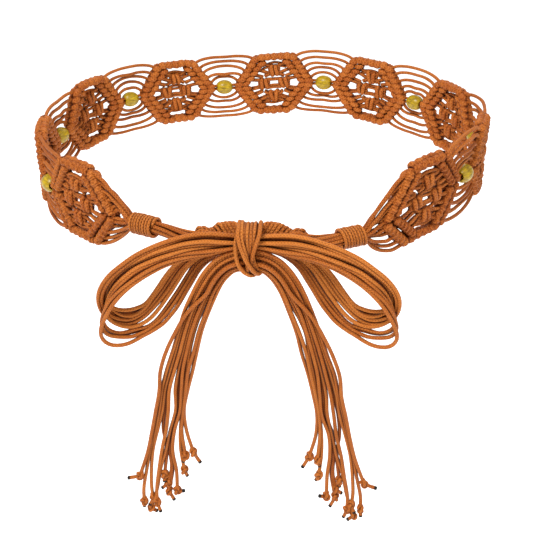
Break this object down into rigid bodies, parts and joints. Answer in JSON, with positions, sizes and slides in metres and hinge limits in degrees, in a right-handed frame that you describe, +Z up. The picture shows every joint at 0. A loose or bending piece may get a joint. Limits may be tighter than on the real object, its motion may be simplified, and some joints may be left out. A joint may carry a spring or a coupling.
{
  "type": "braided belt",
  "caption": "Knotted cord belt in its worn oval: hexagonal knotted panels joined by bare cord fans with wooden beads, tied in front with a bow and knotted hanging ends.",
  "frame": {"origin": "middle of the waist hollow, at half the band's height", "axes": "+Z up along the wearer's body, +Y towards the belt's back, -Y towards the bow, +X towards the wearer's left side, the viewer's right"},
  "size_m": [0.2721, 0.2671, 0.2033],
  "materials": {
    "cord": "waxed cotton cord, rust orange, dull sheen",
    "bead": "olive-brown stained wood, lacquered"
  },
  "bodies": {
    "root": {"panel_1": "cord", "panel_2": "cord", "panel_3": "cord", "panel_4": "cord", "panel_5": "cord", "panel_6": "cord", "panel_7": "cord", "panel_8": "cord", "panel_9": "cord", "fan_1": "cord", "fan_2": "cord", "fan_3": "cord", "fan_4": "cord", "fan_5": "cord", "fan_6": "cord", "fan_7": "cord", "fan_8": "cord", "bead_1": "bead", "bead_2": "bead", "bead_3": "bead", "bead_4": "bead", "bead_5": "bead", "bead_6": "bead", "bead_7": "bead", "bead_8": "bead", "end_fan_left": "cord", "end_fan_right": "cord", "collar_left": "cord", "collar_right": "cord", "tie_left": "cord", "tie_right": "cord", "half_knot": "cord", "bow_knot": "cord", "bow_loop_left": "cord", "bow_loop_right": "cord", "bow_tail_left": "cord", "bow_tail_right": "cord"}
  },
  "joints": []
}
